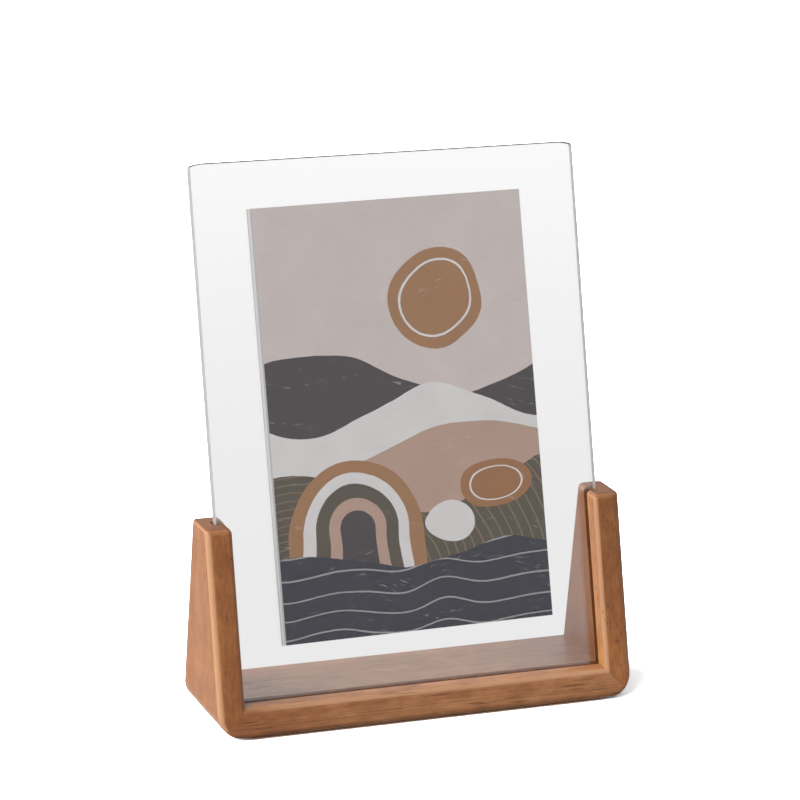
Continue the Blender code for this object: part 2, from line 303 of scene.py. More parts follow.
@dataclass(frozen=True)
class WoodFinish(Finish):
    """Oiled, straight-grained hardwood with short dark pores. Lengths are millimetres."""

    name: str
    run: GrainRun
    offset: Triple = (0.0, 0.0, 0.0)
    tone: float = 1.0
    light: Colour = paint(168, 109, 65)
    middle: Colour = paint(152, 94, 52)
    dark: Colour = paint(133, 80, 42)
    pore: Colour = paint(62, 33, 18)
    worn_and_lit: Colour = paint(187, 139, 101)
    dark_span: Pair = (0.34, 0.50)
    light_span: Pair = (0.48, 0.64)
    heart: Pair = (34.0, -61.0)
    band: float = 2.1
    band_detail: float = 3.0
    band_roughness: float = 0.6
    sway: float = 2.6
    sway_grain: Grain = (0.3, 0.035, 3.0, 0.5)
    streak_grain: Grain = (0.05, 0.42, 3.0, 0.6)
    cloud_grain: Grain = (0.5, 0.16, 3.0, 0.6)
    fibre_grain: Grain = (0.03, 2.2, 4.0, 0.7)
    figure_shares: tuple[float, ...] = (0.28, 0.28, 0.34, 0.10)
    swing_span: Pair = (0.3, 0.7)
    cloud: float = 0.05
    fleck: float = 0.11
    fleck_grain: Grain = (0.24, 0.85, 2.0, 0.6)
    pore_length: float = 4.5
    pore_width: float = 0.9
    pore_edge: Pair = (0.30, 0.16)
    pore_share: float = 0.75
    pore_spread: Pair = (0.60, 0.70)
    cluster_grain: Grain = (0.25, 0.22, 2.0, 0.5)
    fine_size: float = 0.4
    fine_share: float = 0.14
    end_span: Pair = (0.80, 0.97)
    end_grain: float = 0.60
    end_roughness: float = 0.22
    # painted light and shade: tints of the faces that look left, behind and in front of the groove
    side_light_tint: Colour = WHITE
    side_light_span: Pair = (-0.75, -0.95)
    front_span: Pair = (0.3, 0.8)
    fore_light_drift: Drift = Drift()
    front_drift: Drift = Drift()
    # painted shade and light on the faces behind the sheets
    inner_light_and_shade: tuple[Drift, ...] = ()
    groove: float = 0.0
    groove_ease: float = 0.5
    lean: float = math.radians(14.0)
    edge_span: Pair = (0.993, 0.92)
    # worn finish and painted highlight on the rounded edges, dimmed on edges that face up or right
    wear_highlight_share: float = 0.8
    up_edge_highlight: float = 1.0
    up_edge_highlight_span: Pair = (0.35, 0.6)
    right_edge_highlight: float = 0.15
    right_edge_highlight_span: Pair = (-0.05, 0.25)
    wear_highlight_range: Pair = (-200.0, -199.0)
    painted_foot_shade: float = 0.38
    painted_foot_heights: Pair = (0.9, 3.2)
    dull_heights: Pair = (1.8, 3.6)
    front_slope: float = math.radians(13.8)
    roughness: float = 0.30
    fibre_roughness: float = 0.12
    pore_roughness: float = 0.2
    fibre_height: float = 0.25
    relief: float = 0.00005
    relief_strength: float = 0.6
    index: float = 1.5

    def bands(self, spot: Spot) -> Value:
        """Draw the growth bands, as noise over the distance from the heart of the tree.

        Args:
            spot: The spot on the board.

        Returns:
            The noise, around 0.5.
        """
        shift = (spot.noise(*self.sway_grain) - 0.5) * (self.sway * 2)
        across, behind = [place - heart + shift for place, heart in zip(spot.grain[1:], self.heart)]
        radius = spot.graph.vector(across, behind, 0.0).length()
        rings = {"W": radius / self.band, "Detail": self.band_detail, "Roughness": self.band_roughness}
        return spot.graph.out("ShaderNodeTexNoise", rings, noise_dimensions="1D")

    def pores(self, spot: Spot, size: float) -> Value:
        """Draw short dashes along the grain.

        Args:
            spot: The spot on the board.
            size: The dashes' size, as a share of the full one.

        Returns:
            1 inside a dash and 0 between them.
        """
        along, first, second = spot.grain
        width = self.pore_width * size
        spaced = spot.graph.vector(along / (self.pore_length * size), first / width, second / width)
        cells = spot.graph.out("ShaderNodeTexVoronoi", {"Vector": spaced, "Scale": 1.0}, "Distance")
        return cells.ease(*self.pore_edge)

    def wear_and_highlight(self, spot: Spot) -> Value:
        """Find the rounded edges, lighter as worn finish and as a painted highlight, less on edges that
        face up or right and outside a set range along the board.

        Args:
            spot: The spot on the board.

        Returns:
            1 on the rounded edges and 0 on the flat faces.
        """
        slope = (0.0, -math.cos(self.front_slope), math.sin(self.front_slope))
        both = {0: spot.normal, 1: slope}
        nearest = abs(spot.graph.out("ShaderNodeVectorMath", both, "Value", operation="DOT_PRODUCT"))
        for facing in (spot.right, spot.back, spot.up):
            nearest = spot.graph.maths("MAXIMUM", nearest, abs(facing))
        edge = nearest.ease(*self.edge_span) * spot.up.ease(*self.up_edge_highlight_span, 1.0, self.up_edge_highlight)
        edge = edge * spot.right.ease(*self.right_edge_highlight_span, 1.0, self.right_edge_highlight)
        return edge * spot.along.ease(*self.wear_highlight_range)

    def cut_end(self, spot: Spot) -> Value:
        """Return 1 where the grain is cut across, which soaks up more oil."""
        return spot.end.ease(*self.end_span)

    def before(self, spot: Spot) -> Value:
        """Return 1 in front of the leaning groove and 0 behind it."""
        line = spot.y - spot.z * math.tan(self.lean)
        return line.ease(self.groove + self.groove_ease, self.groove - self.groove_ease)

    def side(self, spot: Spot) -> Value:
        """Return the painted light and shade of the faces that look left: one tint in front of the groove,
        another behind it.
        """
        tint = spot.graph.blend(self.before(spot), self.side_light_tint, self.fore_light_drift.over(spot))
        return spot.graph.blend(spot.right.ease(*self.side_light_span), WHITE, tint)

    def drift(self, spot: Spot) -> Value:
        """Draw the slow changes of tint: one on the front faces, and others as painted shade and light on
        the faces behind the sheets.

        Args:
            spot: The spot on the board.

        Returns:
            The tint.
        """
        inner = WHITE
        for drift in self.inner_light_and_shade:
            inner = spot.graph.times(inner, drift.over(spot))
        inner = spot.graph.blend(self.before(spot), inner, WHITE)
        front = self.front_drift.over(spot)
        return spot.graph.blend(abs(spot.back).ease(*self.front_span), inner, front)

    def colour(self, spot: Spot, fibre: Value) -> Value:
        """Mix the colour of the wood before its pores.

        Args:
            spot: The spot on the board.
            fibre: The noise of the fibres.

        Returns:
            The colour.
        """
        cloud = spot.noise(*self.cloud_grain)
        layers = (self.bands(spot), spot.noise(*self.streak_grain), cloud, fibre)
        first, *others = [layer * share for layer, share in zip(layers, self.figure_shares)]
        figure = sum(others, first)
        colour = spot.graph.blend(figure.ease(*self.dark_span), self.dark, self.middle)
        colour = spot.graph.blend(figure.ease(*self.light_span), colour, self.light)
        fleck = spot.noise(*self.fleck_grain)
        shade = cloud.ease(*self.swing_span, self.tone * (1 - self.cloud), self.tone * (1 + self.cloud))
        shade = shade * fleck.ease(*self.swing_span, 1 - self.fleck, 1 + self.fleck)
        shade = shade * self.cut_end(spot).ease(0.0, 1.0, 1.0, self.end_grain)
        # painted shade: the colour darkens towards the foot
        shade = shade * spot.z.ease(*self.painted_foot_heights, self.painted_foot_shade, 1.0)
        for tint in (shade, self.side(spot), self.drift(spot)):
            colour = spot.graph.times(colour, tint)
        # worn finish and painted highlight on the rounded edges
        return spot.graph.blend(self.wear_and_highlight(spot) * self.wear_highlight_share, colour, self.worn_and_lit)

    def draw(self, graph: Graph) -> None:
        """Draw the wood. The foot is dull, and painted darker as the floor's shade.

        Args:
            graph: The empty tree.
        """
        spot = Spot(graph, self.run, self.offset)
        fibre = spot.noise(*self.fibre_grain)
        coarse = self.pores(spot, 1.0) * spot.noise(*self.cluster_grain).ease(*self.pore_spread)
        pores = graph.maths("MAXIMUM", coarse, self.pores(spot, self.fine_size) * self.fine_share)
        roughness = fibre * self.fibre_roughness + self.roughness + pores * self.pore_roughness
        roughness = roughness + self.cut_end(spot) * self.end_roughness
        dull = spot.z.ease(*self.dull_heights, 1.0, 0.0)
        graph.principled({
            "Base Color": graph.blend(pores * self.pore_share, self.colour(spot, fibre), self.pore),
            "Roughness": graph.maths("MAXIMUM", roughness, dull),
            "Normal": graph.bump(fibre * self.fibre_height - pores, self.relief, self.relief_strength),
            "IOR": self.index,
        })


@dataclass(frozen=True)
class FibreFinish(Finish):
    """A matt sheet of fine fibres in two close colours, such as felt or paper."""

    name: str
    dark: Colour
    light: Colour
    scale: float
    detail: float
    noise_roughness: float
    span: Pair
    relief: float
    roughness: float
    sheen: float = 0.0

    def draw(self, graph: Graph) -> None:
        """Draw the fibres.

        Args:
            graph: The empty tree.
        """
        fibres = graph.noise(graph.place(), self.scale, self.detail, self.noise_roughness)
        graph.principled({
            "Base Color": graph.blend(fibres.ease(*self.span), self.dark, self.light),
            "Normal": graph.bump(fibres, self.relief),
            "Roughness": self.roughness,
            "Sheen Weight": self.sheen,
        })


PAD_FELT = FibreFinish("pad_felt_wool", paint(58, 54, 50), paint(92, 86, 80), scale=6000.0, detail=4.0,
                       noise_roughness=0.7, span=(0.35, 0.65), relief=0.0001, roughness=0.95, sheen=0.3)
PAPER_BACK = FibreFinish("paper_back", paint(226, 223, 217), paint(238, 236, 231), scale=2500.0, detail=3.0,
                         noise_roughness=0.6, span=(0.3, 0.7), relief=0.00002, roughness=0.8)


class GlassSurface(Enum):
    """The two surfaces of a sheet."""

    POLISHED = "polished"
    GROUND = "ground"


@dataclass(frozen=True)
class GlassFinish(Finish):
    """Clear float glass that lets the lamps through to what lies behind it."""

    surface: GlassSurface
    tint: Colour = grey(0.985)
    edge_tint: Colour = paint(158, 159, 159)
    # painted shade for the ground edges that face up
    top_edge_shade: Colour = paint(58, 59, 62)
    top_edge_shade_span: Pair = (0.3, 0.7)
    shadow_tint: Colour = grey(0.88)
    polished_roughness: float = 0.0
    ground_roughness: float = 0.5
    ground_transmission: float = 0.3
    index: float = 1.52

    @property
    def name(self) -> str:
        """Return the material's name."""
        return f"glass_{self.surface.value}"

    def draw(self, graph: Graph) -> None:
        """Draw one surface of the glass.

        Args:
            graph: The empty tree.
        """
        ground = self.surface is GlassSurface.GROUND
        colour = self.tint
        # painted shade: the ground edges that face up are drawn darker
        if ground:
            upward = abs(graph.normal().parts()[2]).ease(*self.top_edge_shade_span)
            colour = graph.blend(upward, self.edge_tint, self.top_edge_shade)
        shader = graph.out("ShaderNodeBsdfPrincipled", {
            "Base Color": colour,
            "Roughness": self.ground_roughness if ground else self.polished_roughness,
            "Transmission Weight": self.ground_transmission if ground else 1.0,
            "IOR": self.index,
        })
        clear = graph.out("ShaderNodeBsdfTransparent", {"Color": self.shadow_tint})
        path = graph.node("ShaderNodeLightPath").outputs
        for ray in ("Is Shadow Ray", "Is Diffuse Ray"):
            shader = graph.mix(path[ray], shader, clear)
        graph.surface(shader)


@dataclass(frozen=True)
class Hill:
    """Painted ground under a rolling line. Lengths are millimetres on the paper."""

    level: float
    swell: float
    length: float
    start: float

    def mask(self, across: Value, up: Value) -> Value:
        """Return 1 on the ground and 0 above it."""
        line = ((across + self.start) * (FULL_TURN / self.length)).sine() * self.swell + self.level
        return up.under(line)


@dataclass(frozen=True)
class Disc:
    """A painted round shape, perhaps pressed flat. Lengths are millimetres on the paper."""

    centre: Pair
    radius: float
    squeeze: float = 1.0

    def reach(self, across: Value, up: Value) -> Value:
        """Return the distance from the centre, with heights stretched by the squeeze."""
        up = (up - self.centre[1]) * self.squeeze
        return up.graph.vector(across - self.centre[0], up, 0.0).length()

    def mask(self, across: Value, up: Value) -> Value:
        """Return 1 on the shape and 0 outside it."""
        return self.reach(across, up).under(self.radius)


@dataclass(frozen=True)
class Ring(Disc):
    """A painted line round a centre."""

    width: float = 0.8

    def mask(self, across: Value, up: Value) -> Value:
        """Return 1 on the line and 0 beside it."""
        return abs(self.reach(across, up) - self.radius).under(self.width / 2)


@dataclass(frozen=True)
class Arch(Disc):
    """The top half of a disc on legs that run down from it."""

    def reach(self, across: Value, up: Value) -> Value:
        """Return the distance from the centre, or from the middle line under it."""
        up = up.graph.maths("MAXIMUM", up - self.centre[1], 0.0)
        return up.graph.vector(across - self.centre[0], up, 0.0).length()


@dataclass(frozen=True)
class PrintFinish(Finish):
    """A painted landscape of sun, ridges, hills, arches and water. Lengths are millimetres on the paper."""

    name: str = "painted_print"
    width: float = 101.6
    height: float = 152.4
    margin: Pair = (1.3, 1.6)
    line: float = 0.32
    wobbles: tuple[Pair, ...] = ((0.045, 5.0), (0.5, 0.22))
    wobble_layers: Pair = (0.0, 40.0)
    sky: Colour = paint(225, 213, 209)
    white: Colour = paint(253, 252, 252)
    cream: Colour = paint(240, 236, 236)
    edge_shade_and_line: Colour = paint(214, 210, 212)
    ochre: Colour = paint(176, 127, 86)
    ochre_deep: Colour = paint(170, 117, 72)
    brown: Colour = paint(73, 65, 70)
    olive: Colour = paint(93, 84, 70)
    olive_light: Colour = paint(131, 115, 88)
    blush: Colour = paint(200, 166, 149)
    navy: Colour = paint(49, 50, 65)
    sun_centre: Pair = (67.0, 116.0)
    arch_centre: Pair = (31.0, 36.0)
    pebble_centre: Pair = (84.0, 49.0)
    pebble_squeeze: float = 1.5
    furrow_centre: Disc = Disc((10.0, 18.0), 0.0, squeeze=1.3)
    furrow_pitch: float = 1.75
    furrow_span: Pair = (0.80, 0.95)
    wave_start: float = 5.0
    wave_length: float = 38.0
    wave_swell: float = 1.3
    wave_pitch: float = 7.0
    wave_span: Pair = (0.95, 0.99)
    wave_share: float = 0.45
    stroke_length: float = 46.0
    stroke_bend: float = 2.5
    stroke_stretch: float = 0.16
    stroke_noise: Triple = (1.1, 2.0, 0.6)
    stroke_shade: float = 0.10
    blotch_layer: float = 7.0
    blotch_noise: Triple = (0.08, 2.0, 0.6)
    blotch_shade: float = 0.16
    mark_noise: Pair = (1.7, 0.0)
    mark_span: Pair = (0.66, 0.74)
    mark_share: float = 0.22
    patch_noise: Pair = (0.22, 1.0)
    patch_span: Pair = (0.52, 0.66)
    roughness: float = 0.8
    relief: float = 0.00002
    relief_strength: float = 0.4

    def place(self, graph: Graph) -> tuple[Value, Value]:
        """Find the place on the paper, drawn with a slightly unsteady hand.

        Args:
            graph: The tree of the picture.

        Returns:
            The places across and up.
        """
        across, up, _ = graph.out("ShaderNodeUVMap", uv_map="paper").parts()
        across, up = across * self.width, up * self.height
        for scale, reach in self.wobbles:
            first = graph.noise(graph.vector(across, up, self.wobble_layers[0]), scale, 0.0)
            second = graph.noise(graph.vector(up, across, self.wobble_layers[1]), scale, 0.0)
            across = across + (first - 0.5) * reach
            up = up + (second - 0.5) * reach
        return across, up

    def ploughed(self, across: Value, up: Value) -> Value:
        """Return the ploughed ground, with furrows round a far centre."""
        furrows = (self.furrow_centre.reach(across, up) * self.furrow_pitch).sine()
        return up.graph.blend(furrows.ease(*self.furrow_span), self.olive, self.olive_light)

    def sea(self, across: Value, up: Value) -> Value:
        """Paint the water, with pale lines that follow its swell.

        Args:
            across: The place across the paper.
            up: The place up the paper.

        Returns:
            The colour.
        """
        swell = ((across + self.wave_start) * (FULL_TURN / self.wave_length)).sine() * self.wave_swell
        lines = ((swell + up) * (FULL_TURN / self.wave_pitch)).sine().ease(*self.wave_span)
        return up.graph.blend(lines * self.wave_share, self.navy, self.cream)

    def picture(self, across: Value, up: Value) -> Value:
        """Paint the shapes over the sky, from the farthest to the nearest.

        Args:
            across: The place across the paper.
            up: The place up the paper.

        Returns:
            The colour before its brush marks.
        """
        arches = ((25.0, self.ochre), (20.5, self.cream), (16.5, self.olive), (11.5, self.blush),
                  (7.0, self.brown))
        shapes = (
            (Disc(self.sun_centre, 17.5), self.ochre),
            (Ring(self.sun_centre, 13.2), self.cream),
            (Hill(level=92.0, swell=9.0, length=118.0, start=14.0), self.brown),
            (Hill(level=79.0, swell=8.0, length=92.0, start=52.0), self.cream),
            (Hill(level=63.0, swell=10.0, length=138.0, start=96.0), self.blush),
            (Hill(level=50.0, swell=8.0, length=104.0, start=20.0), self.ploughed(across, up)),
            (Disc(self.pebble_centre, 13.0, self.pebble_squeeze), self.ochre_deep),
            (Ring(self.pebble_centre, 9.2, self.pebble_squeeze, width=0.7), self.cream),
            (Disc((66.0, 38.0), 9.5, squeeze=1.35), self.cream),
            *((Arch(self.arch_centre, radius), tint) for radius, tint in arches),
            (Hill(level=26.0, swell=3.2, length=76.0, start=8.0), self.sea(across, up)),
        )
        colour = self.sky
        for shape, tint in shapes:
            colour = up.graph.blend(shape.mask(across, up), colour, tint)
        return colour

    def strokes(self, across: Value, up: Value) -> tuple[Value, Value]:
        """Draw the marks of the brush.

        Args:
            across: The place across the paper.
            up: The place up the paper.

        Returns:
            The brush's fine furrows, around 0.5, and a mask of the few bristle marks that catch light.
        """
        graph = up.graph
        bend = (across * (FULL_TURN / self.stroke_length)).sine() * self.stroke_bend
        run = graph.vector(across * self.stroke_stretch, up + bend, 0.0)
        marks = graph.noise(run, *self.mark_noise).ease(*self.mark_span)
        patches = graph.noise(run, *self.patch_noise).ease(*self.patch_span)
        return graph.noise(run, *self.stroke_noise), marks * patches

    def edge(self, graph: Graph, colour: Value) -> Value:
        """Leave a bare strip down the paper's left edge, between two fine grey lines: the outer one a
        painted shade along the paper's cut edge, the inner one where the picture begins.

        Args:
            graph: The tree of the picture.
            colour: The painted colour.

        Returns:
            The colour with the strip.
        """
        across, up, _ = graph.out("ShaderNodeUVMap", uv_map="paper").parts()
        across = across * self.width
        limit = up * (self.margin[1] - self.margin[0]) + self.margin[0]
        colour = graph.blend(across.under(limit), colour, self.white)
        # the line at 0 is a painted shade along the paper's cut edge
        for place in (0.0, limit):
            colour = graph.blend(abs(across - place).under(self.line), colour, self.edge_shade_and_line)
        return colour

    def draw(self, graph: Graph) -> None:
        """Draw the painted front of the print.

        Args:
            graph: The empty tree.
        """
        across, up = self.place(graph)
        furrows, marks = self.strokes(across, up)
        blotch = graph.noise(graph.vector(across, up, self.blotch_layer), *self.blotch_noise)
        shade = (furrows - 0.5) * self.stroke_shade + 1.0 + (blotch - 0.5) * self.blotch_shade
        colour = graph.times(self.picture(across, up), shade)
        colour = graph.blend(marks * self.mark_share, colour, self.cream)
        graph.principled({
            "Base Color": self.edge(graph, colour),
            "Normal": graph.bump(furrows, self.relief, self.relief_strength),
            "Roughness": self.roughness,
            "Specular IOR Level": 0.0,
        })


@contextmanager
def edited(mesh: bpy.types.Mesh) -> Iterator[bmesh.types.BMesh]:
    """Open a mesh for edits, and write them back at the end.

    Args:
        mesh: The mesh.

    Yields:
        The mesh in its editable form.
    """
    work = bmesh.new()
    work.from_mesh(mesh)
    yield work
    work.to_mesh(mesh)
    work.free()


def add_object(name: str, data: bpy.types.ID) -> bpy.types.Object:
    """Add an object at the origin.

    Args:
        name: The object's name.
        data: The mesh, camera or lamp that it shows.

    Returns:
        The object.
    """
    item = bpy.data.objects.new(name, data)
    bpy.context.scene.collection.objects.link(item)
    return item


def evaluated_mesh(item: bpy.types.Object) -> bpy.types.Mesh:
    """Take an object's mesh as its modifiers leave it, with no empty material slot, and remove the object.

    Args:
        item: The object.

    Returns:
        The mesh, under the object's name.
    """
    name = item.name
    bpy.context.view_layer.update()
    mesh = bpy.data.meshes.new_from_object(item.evaluated_get(bpy.context.evaluated_depsgraph_get()))
    for number in reversed(range(len(mesh.materials))):
        if mesh.materials[number] is None:
            mesh.materials.pop(index=number)
    bpy.data.objects.remove(item, do_unlink=True)
    mesh.name = name
    return mesh


def smooth(mesh: bpy.types.Mesh) -> None:
    """Shade a mesh smooth between its sharp edges."""
    mesh.shade_smooth()
    mesh.set_sharp_from_angle(angle=SMOOTH_ANGLE)


def arc(centre: Pair, radius: float, start: float, end: float, steps: int) -> list[Vector]:
    """Return the points of an arc between two angles in degrees, both ends included."""
    angles = [math.radians(start + (end - start) * step / steps) for step in range(steps + 1)]
    return [Vector((centre[0] + radius * math.cos(a), centre[1] + radius * math.sin(a))) for a in angles]


def rectangle(half: float, low: float, high: float) -> list[Pair]:
    """Return the corners of a rectangle with its middle at 0 across."""
    return [(-half, low), (half, low), (half, high), (-half, high)]


def prism(name: str, outline: list[Pair], depth: float) -> bpy.types.Mesh:
    """Make a closed plate whose outline lies in the XZ plane, centred on y = 0.

    Args:
        name: The mesh's name.
        outline: The outline's points, as places across and up.
        depth: The plate's thickness.

    Returns:
        The plate.
    """
    mesh = bpy.data.meshes.new(name)
    with edited(mesh) as work:
        faces = []
        for y in (-depth / 2, depth / 2):
            faces.append(work.faces.new([work.verts.new((across, y, up)) for across, up in outline]))
        bmesh.ops.bridge_loops(work, edges=[edge for face in faces for edge in face.edges])
        bmesh.ops.recalc_face_normals(work, faces=work.faces)
    return mesh


class ShapeTree(Graph):
    """A Geometry Nodes tree with a geometry and named lengths as its inputs."""

    def __init__(self, name: str, *lengths: str) -> None:
        """Lay out the tree's inputs and its output.

        Args:
            name: The tree's name.
            *lengths: The names of its lengths.
        """
        super().__init__(bpy.data.node_groups.new(name, "GeometryNodeTree"))
        outside = self.tree.interface
        outside.new_socket("Geometry", in_out="INPUT", socket_type="NodeSocketGeometry")
        made = [outside.new_socket(each, in_out="INPUT", socket_type="NodeSocketFloat") for each in lengths]
        self.names = {each.name: each.identifier for each in made}
        outside.new_socket("Geometry", in_out="OUTPUT", socket_type="NodeSocketGeometry")
        self.given = self.node("NodeGroupInput").outputs

    def length(self, name: str) -> Value:
        """Return one of the tree's lengths."""
        return Value(self, self.given[name])

    def finish(self, geometry: Value) -> None:
        """End the tree in one geometry."""
        self.node("NodeGroupOutput", {0: geometry})

    def run(self, item: bpy.types.Object, lengths: dict[str, float]) -> bpy.types.Mesh:
        """Let the tree work on an object, which is used up.

        Args:
            item: The object.
            lengths: The tree's lengths, by name.

        Returns:
            The mesh that the tree makes.
        """
        modifier = item.modifiers.new(self.tree.name, "NODES")
        modifier.node_group = self.tree
        for name, length in lengths.items():
            modifier[self.names[name]] = length
        return evaluated_mesh(item)


@dataclass
class Assembly:
    """Pieces that are built and dressed together."""

    pieces: list[bpy.types.Object] = field(default_factory=list, init=False)

    def add(self, item: bpy.types.Object, body: str, slot: str, *nodes: str) -> None:
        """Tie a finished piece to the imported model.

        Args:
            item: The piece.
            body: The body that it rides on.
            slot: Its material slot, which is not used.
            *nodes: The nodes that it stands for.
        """
        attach(item, body)
        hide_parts(*nodes)
        self.pieces.append(item)
        LOG.info("%s rides on %s with %d faces", item.name, body, len(item.data.polygons))


@dataclass(frozen=True)
class LeaningPlane:
    """The middle plane of the sheets, which leans back in the stand's groove."""

    middle: Vector
    lean: float

    @classmethod
    def from_frame(cls) -> "LeaningPlane":
        """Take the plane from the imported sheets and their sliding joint.

        Returns:
            The plane.
        """
        corners = [corner for node in ("front_glass", "rear_glass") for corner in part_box(node)]
        axis = Vector(frame["record"]["behaviour"]["joints"][0]["axis"])
        return cls(sum(corners, Vector()) / len(corners), math.atan2(axis.y, axis.z))

    def turn(self) -> Matrix:
        """Return the turn from upright to the plane's lean."""
        return Matrix.Rotation(-self.lean, 4, "X")

    def place(self) -> Matrix:
        """Return the matrix of the plane's middle."""
        return Matrix.Translation(self.middle) @ self.turn()


@dataclass
class Stand(Assembly):
    """The three boards of the U-shaped stand and the dowels across its mitres."""

    plane: LeaningPlane
    board: float = 0.0099
    foot_depth: float = 0.0465
    top_depth: float = 0.0168
    front_slope: float = math.radians(13.8)
    corner_radius: float = 0.0084
    edge_rounding: float = 0.0028
    inner_rounding: float = 0.002
    end_rounding: float = 0.001
    underside_rounding: float = 0.001
    groove_width: float = 0.00405
    groove_depth: float = 0.005
    sheet_height: float = 0.1905
    seat_clearance: float = 0.0003
    arris_rounding: float = 0.00025
    mitre_rounding: float = 0.00008
    mitre_gap: float = 0.00002
    margin: float = 0.002
    corner_steps: int = 16
    rounding_segments: int = 6
    arris_segments: int = 2

    def __post_init__(self) -> None:
        """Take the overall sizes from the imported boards."""
        foot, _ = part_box("base_rail")
        _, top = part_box("right_upright")
        self.half_width = top.x
        self.inner = top.x - self.board
        self.underside = foot.z
        self.height = top.z - foot.z
        cut_back = 1 - math.tan(math.pi / 4 - self.front_slope / 2)
        self.foot_front = foot.y - self.underside_rounding * cut_back

    def front_face(self, height: float) -> float:
        """Return y on the sloping front face at a height above the underside."""
        return self.foot_front + height * math.tan(self.front_slope)

    def rear_face(self, height: float) -> float:
        """Find y on the sloping rear face.

        Args:
            height: The height above the underside.

        Returns:
            The place on the y axis.
        """
        foot = self.foot_front + self.foot_depth
        top = self.front_face(self.height) + self.top_depth
        return foot + (top - foot) * height / self.height

    def outline(self) -> list[Pair]:
        """Draw the U that the boards make together, seen from the front.

        Returns:
            The outline's points.
        """
        radius = self.corner_radius
        reach = self.half_width - radius
        left = arc((-reach, radius), radius, 180, 270, self.corner_steps)
        right = arc((reach, radius), radius, 270, 360, self.corner_steps)
        inside = [(self.half_width, self.height), (self.inner, self.height), (self.inner, self.board)]
        return left + right + inside + [(-across, up) for across, up in reversed(inside)]

    def rounding(self, edge: bmesh.types.BMEdge) -> float:
        """Find an edge's radius: full outside the U, less inside it, least at its ends and foot.

        Args:
            edge: An edge of the U.

        Returns:
            The radius, 0 where the edge isn't sharp.
        """
        if edge.calc_face_angle_signed() < SMOOTH_ANGLE:
            return 0.0
        middle = (edge.verts[0].co + edge.verts[1].co) / 2
        if middle.z > self.height - WELD_DISTANCE:
            outer = abs(middle.x) > self.half_width - WELD_DISTANCE
            rear = middle.y > self.rear_face(self.height) - WELD_DISTANCE
            return self.end_rounding if outer or rear else self.inner_rounding
        if abs(middle.x) < self.inner + WELD_DISTANCE and middle.z > self.board - WELD_DISTANCE:
            return self.inner_rounding
        share = min(middle.z / self.corner_radius, 1.0)
        return self.underside_rounding + (self.edge_rounding - self.underside_rounding) * share

    def blank(self, name: str) -> bpy.types.Object:
        """Make the whole U with its sloping faces and rounded edges.

        Args:
            name: The object's name.

        Returns:
            The U.
        """
        mesh = prism(name, self.outline(), self.foot_depth)
        with edited(mesh) as work:
            for corner in work.verts:
                face = self.front_face if corner.co.y < 0 else self.rear_face
                corner.co.y = face(corner.co.z)
            weights = work.edges.layers.float.new("bevel_weight_edge")
            for edge in work.edges:
                edge[weights] = self.rounding(edge) / self.edge_rounding
        mesh.transform(Matrix.Translation((0.0, 0.0, self.underside)))
        item = add_object(name, mesh)
        self.add_bevel(item, self.edge_rounding, self.rounding_segments)
        return item

    def add_bevel(self, item: bpy.types.Object, width: float, segments: int) -> None:
        """Round the weighted edges of an object.

        Args:
            item: The object.
            width: The radius at full weight.
            segments: The number of flats round an edge.
        """
        bevel = item.modifiers.new("rounding", "BEVEL")
        bevel.width = width
        bevel.segments = segments
        bevel.limit_method = "WEIGHT"
        bevel.use_clamp_overlap = False

    def groove_cutter(self) -> bpy.types.Object:
        """Make the leaning slab that cuts the groove.

        Returns:
            The slab.
        """
        half = self.inner + self.groove_depth
        foot = -self.sheet_height / 2 - self.seat_clearance
        top = (self.height + self.margin) / math.cos(self.plane.lean) + foot
        mesh = prism("groove_slab", rectangle(half, foot, top), self.groove_width)
        mesh.transform(self.plane.place())
        return add_object("groove_slab", mesh)

    def region_cutter(self, side: int) -> bpy.types.Object:
        """Make the prism that keeps one board.

        Args:
            side: 0 for the rail, -1 and 1 for the left and right uprights.

        Returns:
            The prism.
        """
        out = self.half_width + self.margin
        low, high = -self.margin, self.board + self.margin
        if side == 0:
            foot = out - self.mitre_gap * math.sqrt(2)
            top = foot - self.board - 2 * self.margin
            points = [(-foot, low), (foot, low), (top, high), (-top, high)]
        else:
            inner, roof = side * (self.inner - self.margin), self.height + self.margin
            points = [(side * out, low), (inner, high), (inner, roof), (side * out, roof)]
        mesh = prism(f"region_{side}", points, 4 * self.foot_depth)
        mesh.transform(Matrix.Translation((0.0, 0.0, self.underside)))
        return add_object(f"region_{side}", mesh)

    def mark_arrises(self, mesh: bpy.types.Mesh) -> None:
        """Weight the edges that are still sharp: the groove's fully, the mitre's for a fine rounding.

        Args:
            mesh: The mesh of one board.
        """
        fine = self.mitre_rounding / self.arris_rounding
        with edited(mesh) as work:
            bmesh.ops.remove_doubles(work, verts=work.verts, dist=WELD_DISTANCE)
            bmesh.ops.dissolve_limit(work, angle_limit=FLAT_ANGLE, verts=work.verts, edges=work.edges)
            layer = work.edges.layers.float
            weights = layer.get("bevel_weight_edge") or layer.new("bevel_weight_edge")
            for edge in work.edges:
                sharp = len(edge.link_faces) == 2 and edge.calc_face_angle_signed() > SMOOTH_ANGLE
                normals = [face.normal for face in edge.link_faces]
                mitred = any(abs(abs(n.x) - abs(n.z)) < MITRE_TOLERANCE > abs(n.y) for n in normals)
                edge[weights] = (fine if mitred else 1.0) if sharp else 0.0

